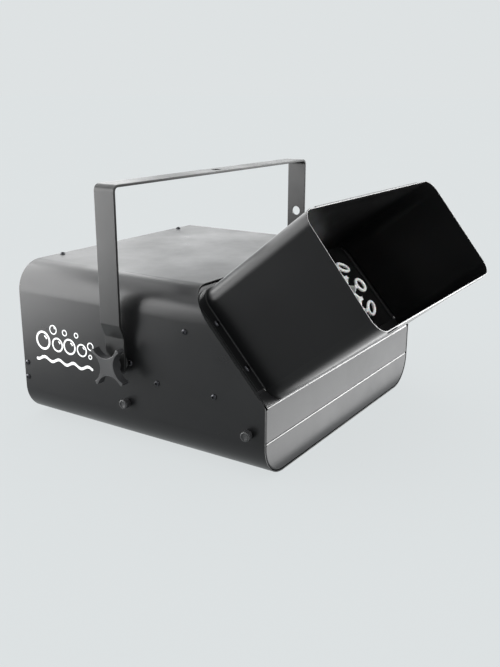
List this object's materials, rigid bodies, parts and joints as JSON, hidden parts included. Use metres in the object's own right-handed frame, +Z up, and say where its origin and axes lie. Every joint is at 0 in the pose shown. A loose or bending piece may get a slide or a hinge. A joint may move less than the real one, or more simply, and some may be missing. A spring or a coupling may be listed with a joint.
{
  "type": "bubble machine",
  "caption": "Stage bubble machine: folded-steel housing with a sloping square bubble duct, tilting yoke with star knobs, ring wheels over a fluid drawer, and fans behind them.",
  "frame": {"origin": "centre of the object's footprint, on the surface that the feet stand on", "axes": "+Z up, -Y towards the front, where the bubbles leave the duct, +X to the right of someone who looks along +Y at the front"},
  "size_m": [0.4312, 0.478, 0.303],
  "materials": {
    "housing_steel": "satin black powder coat",
    "inner_steel": "bare zinc-plated sheet",
    "white_plastic": "glossy moulded",
    "black_plastic": "matt moulded",
    "rubber": "matt",
    "steel": "zinc plated",
    "brass": "plain",
    "circuit_board": "green solder mask",
    "supply_case": null,
    "tinted_window": "polished, dark tint"
  },
  "bodies": {
    "housing": {"housing_cover": "housing_steel", "front_panel": "housing_steel", "slope_frame": "housing_steel", "bubble_duct": "housing_steel", "rear_panel": "housing_steel", "data_in_socket": "housing_steel", "data_out_socket": "housing_steel", "fan_bulkhead": "housing_steel", "wheel_bracket_left": "housing_steel", "wheel_bracket_right": "housing_steel", "base_plate": "inner_steel", "fan_frame_left": "black_plastic", "fan_frame_right": "black_plastic", "power_inlet": "black_plastic", "fuse_holder": "black_plastic", "power_switch": "black_plastic", "rubber_foot_1": "rubber", "rubber_foot_2": "rubber", "rubber_foot_3": "rubber", "rubber_foot_4": "rubber", "friction_washer_left": "rubber", "friction_washer_right": "rubber", "duct_screw_left_low": "steel", "duct_screw_left_high": "steel", "duct_screw_right_low": "steel", "duct_screw_right_high": "steel", "wheel_motor": "steel", "yoke_nut_left": "steel", "yoke_nut_right": "steel", "shaft_bush_left": "brass", "shaft_bush_right": "brass", "control_board": "circuit_board", "display_board": "circuit_board", "power_supply": "supply_case", "display_window": "tinted_window"},
    "fluid_drawer": {"fluid_drawer": "housing_steel"},
    "yoke": {"yoke": "housing_steel"},
    "star_knob_left": {"star_knob_left": "black_plastic"},
    "star_knob_right": {"star_knob_right": "black_plastic"},
    "wheels": {"wheel_shaft": "steel", "bubble_wheel_left": "white_plastic", "bubble_wheel_right": "white_plastic"},
    "fan_rotor_left": {"fan_rotor_left": "black_plastic"},
    "fan_rotor_right": {"fan_rotor_right": "black_plastic"},
    "power_rocker": {"power_rocker": "black_plastic"},
    "button_menu": {"button_menu": "black_plastic"},
    "button_up": {"button_up": "black_plastic"},
    "button_down": {"button_down": "black_plastic"},
    "button_enter": {"button_enter": "black_plastic"},
    "thumb_screw_left_rear": {"thumb_screw_left_rear": "black_plastic"},
    "thumb_screw_left_front": {"thumb_screw_left_front": "black_plastic"},
    "thumb_screw_right_rear": {"thumb_screw_right_rear": "black_plastic"},
    "thumb_screw_right_front": {"thumb_screw_right_front": "black_plastic"}
  },
  "joints": [
    {"name": "yoke_tilt", "type": "hinge", "parent": "housing", "child": "yoke", "pos_m": [0, 0.06724, 0.102], "axis": [1, 0, 0], "range_deg": [-110, 40]},
    {"name": "drawer_slide", "type": "slide", "parent": "housing", "child": "fluid_drawer", "axis": [0, -1, 0], "range_m": [0, 0.05]},
    {"name": "wheel_spin", "type": "hinge", "parent": "housing", "child": "wheels", "pos_m": [0, -0.03236, 0.101], "axis": [1, 0, 0], "continuous": true},
    {"name": "knob_turn_left", "type": "hinge", "parent": "housing", "child": "star_knob_left", "pos_m": [-0.2, 0.06724, 0.102], "axis": [1, 0, 0], "continuous": true},
    {"name": "fan_spin_left", "type": "hinge", "parent": "housing", "child": "fan_rotor_left", "pos_m": [-0.078, 0.08644, 0.133], "axis": [0, 1, 0], "continuous": true},
    {"name": "thumb_turn_left_rear", "type": "hinge", "parent": "housing", "child": "thumb_screw_left_rear", "pos_m": [-0.19, 0.06024, 0.054], "axis": [1, 0, 0], "continuous": true},
    {"name": "thumb_turn_left_front", "type": "hinge", "parent": "housing", "child": "thumb_screw_left_front", "pos_m": [-0.19, -0.10576, 0.054], "axis": [1, 0, 0], "continuous": true},
    {"name": "knob_turn_right", "type": "hinge", "parent": "housing", "child": "star_knob_right", "pos_m": [0.2, 0.06724, 0.102], "axis": [1, 0, 0], "continuous": true},
    {"name": "fan_spin_right", "type": "hinge", "parent": "housing", "child": "fan_rotor_right", "pos_m": [0.078, 0.08644, 0.133], "axis": [0, 1, 0], "continuous": true},
    {"name": "thumb_turn_right_rear", "type": "hinge", "parent": "housing", "child": "thumb_screw_right_rear", "pos_m": [0.19, 0.06024, 0.054], "axis": [1, 0, 0], "continuous": true},
    {"name": "thumb_turn_right_front", "type": "hinge", "parent": "housing", "child": "thumb_screw_right_front", "pos_m": [0.19, -0.10576, 0.054], "axis": [1, 0, 0], "continuous": true},
    {"name": "rocker_tip", "type": "hinge", "parent": "housing", "child": "power_rocker", "pos_m": [0.056, 0.22764, 0.051], "axis": [0, 0, 1], "range_deg": [-14, 0]},
    {"name": "press_menu", "type": "slide", "parent": "housing", "child": "button_menu", "axis": [0, -1, 0], "range_m": [0, 0.0008], "stiffness_N_per_m": 400},
    {"name": "press_up", "type": "slide", "parent": "housing", "child": "button_up", "axis": [0, -1, 0], "range_m": [0, 0.0008], "stiffness_N_per_m": 400},
    {"name": "press_down", "type": "slide", "parent": "housing", "child": "button_down", "axis": [0, -1, 0], "range_m": [0, 0.0008], "stiffness_N_per_m": 400},
    {"name": "press_enter", "type": "slide", "parent": "housing", "child": "button_enter", "axis": [0, -1, 0], "range_m": [0, 0.0008], "stiffness_N_per_m": 400}
  ]
}
